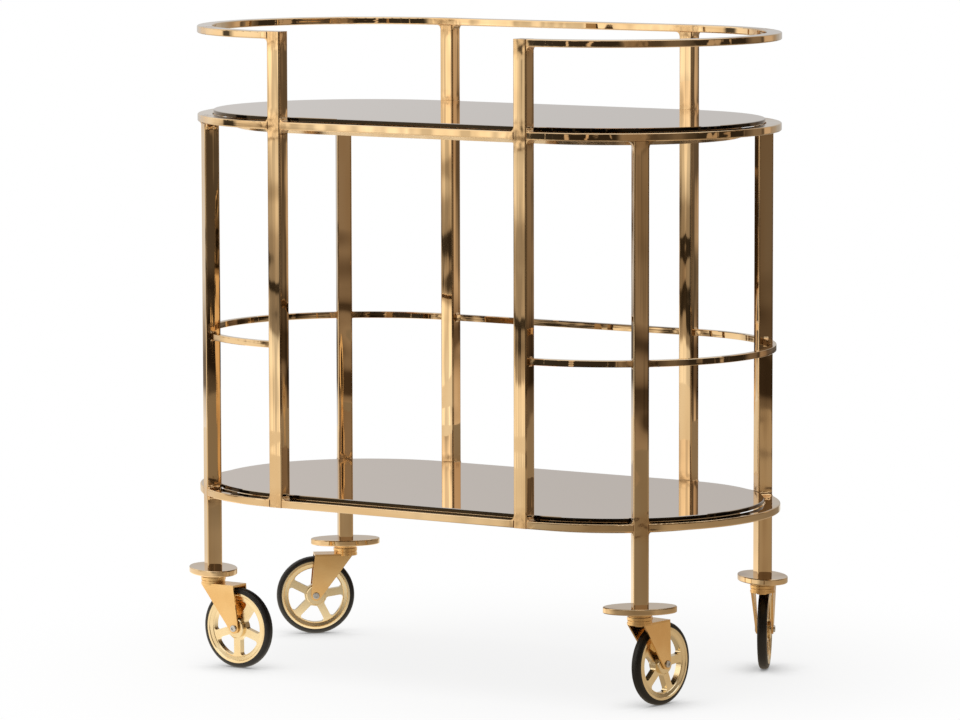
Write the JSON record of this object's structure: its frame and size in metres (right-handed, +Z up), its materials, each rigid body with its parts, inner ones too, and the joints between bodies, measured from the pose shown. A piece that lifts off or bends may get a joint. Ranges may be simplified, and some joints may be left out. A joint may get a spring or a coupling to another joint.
{
  "type": "bar cart",
  "caption": "Oval bar cart on swivel casters: brass square-tube frame, mirrored glass shelves, a rail at mid height and an open-front gallery on top.",
  "frame": {"origin": "on the floor under the middle of the whole cart, wheels included; the oval frame's own middle is 13 mm in front of it", "axes": "+Z up; +X along the cart's long side, to the right seen from the open front; -Y towards the open front of the gallery"},
  "size_m": [0.782, 0.44, 0.805],
  "materials": {
    "frame_brass": "satin",
    "caster_gold": "satin gold plating",
    "bolt_steel": "bright",
    "shelf_glass": "polished",
    "gasket_rubber": "matte",
    "tyre_rubber": "satin"
  },
  "bodies": {
    "cart": {"upper_ring_front": "frame_brass", "upper_ring_back": "frame_brass", "upper_ring_left": "frame_brass", "upper_ring_right": "frame_brass", "lower_ring_front": "frame_brass", "lower_ring_back": "frame_brass", "lower_ring_left_front": "frame_brass", "lower_ring_left_end": "frame_brass", "lower_ring_left_back": "frame_brass", "lower_ring_right_front": "frame_brass", "lower_ring_right_end": "frame_brass", "lower_ring_right_back": "frame_brass", "mid_rail_back": "frame_brass", "mid_rail_left_front": "frame_brass", "mid_rail_left_end": "frame_brass", "mid_rail_left_back": "frame_brass", "mid_rail_right_front": "frame_brass", "mid_rail_right_end": "frame_brass", "mid_rail_right_back": "frame_brass", "gallery_rail": "frame_brass", "upright_fl": "frame_brass", "leg_fl": "frame_brass", "upright_fr": "frame_brass", "leg_fr": "frame_brass", "upright_bl": "frame_brass", "leg_bl": "frame_brass", "upright_br": "frame_brass", "leg_br": "frame_brass", "shelf_support_upper": "frame_brass", "shelf_gasket_upper": "gasket_rubber", "glass_upper": "shelf_glass", "shelf_support_lower": "frame_brass", "shelf_gasket_lower": "gasket_rubber", "glass_lower": "shelf_glass", "caster_fl_flange": "frame_brass", "caster_fl_head": "caster_gold", "caster_fr_flange": "frame_brass", "caster_fr_head": "caster_gold", "caster_bl_flange": "frame_brass", "caster_bl_head": "caster_gold", "caster_br_flange": "frame_brass", "caster_br_head": "caster_gold"},
    "fork_fl": {"caster_fl_fork": "caster_gold", "caster_fl_axle": "bolt_steel"},
    "wheel_fl": {"caster_fl_rim": "caster_gold", "caster_fl_tyre": "tyre_rubber"},
    "fork_fr": {"caster_fr_fork": "caster_gold", "caster_fr_axle": "bolt_steel"},
    "wheel_fr": {"caster_fr_rim": "caster_gold", "caster_fr_tyre": "tyre_rubber"},
    "fork_bl": {"caster_bl_fork": "caster_gold", "caster_bl_axle": "bolt_steel"},
    "wheel_bl": {"caster_bl_rim": "caster_gold", "caster_bl_tyre": "tyre_rubber"},
    "fork_br": {"caster_br_fork": "caster_gold", "caster_br_axle": "bolt_steel"},
    "wheel_br": {"caster_br_rim": "caster_gold", "caster_br_tyre": "tyre_rubber"}
  },
  "joints": [
    {"name": "swivel_fl", "type": "hinge", "parent": "cart", "child": "fork_fl", "pos_m": [-0.31227, -0.16318, 0.11], "axis": [0, 0, 1], "continuous": true},
    {"name": "roll_fl", "type": "hinge", "parent": "fork_fl", "child": "wheel_fl", "pos_m": [-0.27289, -0.16456, 0.0508], "axis": [-0.0349, -0.9994, 0], "continuous": true},
    {"name": "swivel_fr", "type": "hinge", "parent": "cart", "child": "fork_fr", "pos_m": [0.31227, -0.16318, 0.11], "axis": [0, 0, 1], "continuous": true},
    {"name": "roll_fr", "type": "hinge", "parent": "fork_fr", "child": "wheel_fr", "pos_m": [0.31809, -0.12421, 0.0508], "axis": [0.989, -0.1478, 0], "continuous": true},
    {"name": "swivel_bl", "type": "hinge", "parent": "cart", "child": "fork_bl", "pos_m": [-0.31227, 0.13718, 0.11], "axis": [0, 0, 1], "continuous": true},
    {"name": "roll_bl", "type": "hinge", "parent": "fork_bl", "child": "wheel_bl", "pos_m": [-0.34306, 0.1126, 0.0508], "axis": [-0.6239, 0.7815, 0], "continuous": true},
    {"name": "swivel_br", "type": "hinge", "parent": "cart", "child": "fork_br", "pos_m": [0.31227, 0.13718, 0.11], "axis": [0, 0, 1], "continuous": true},
    {"name": "roll_br", "type": "hinge", "parent": "fork_br", "child": "wheel_br", "pos_m": [0.29561, 0.17289, 0.0508], "axis": [0.9063, 0.4226, 0], "continuous": true}
  ]
}
